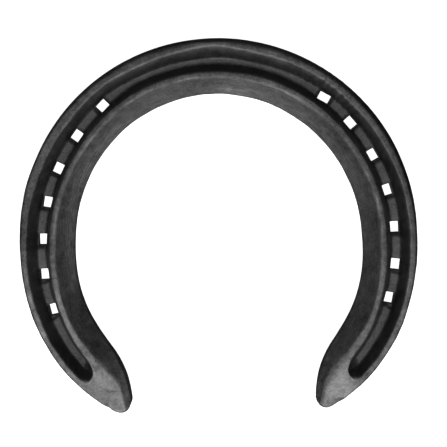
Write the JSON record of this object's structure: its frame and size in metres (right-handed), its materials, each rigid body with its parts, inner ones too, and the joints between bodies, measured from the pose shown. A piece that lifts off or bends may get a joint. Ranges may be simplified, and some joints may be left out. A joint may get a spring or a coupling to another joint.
{
  "type": "horseshoe",
  "caption": "Concave forged steel horseshoe with a crease around the toe, punched nail holes and plain rounded heels.",
  "frame": {"origin": "middle of the shoe's length and width, on the flat face that lies against the hoof", "axes": "+Y towards the toe, +X across the shoe, +Z from the hoof side to the creased ground side"},
  "size_m": [0.1382, 0.1296, 0.0095],
  "materials": {
    "forged_steel": "satin"
  },
  "bodies": {
    "root": {"shoe": "forged_steel"}
  },
  "joints": []
}
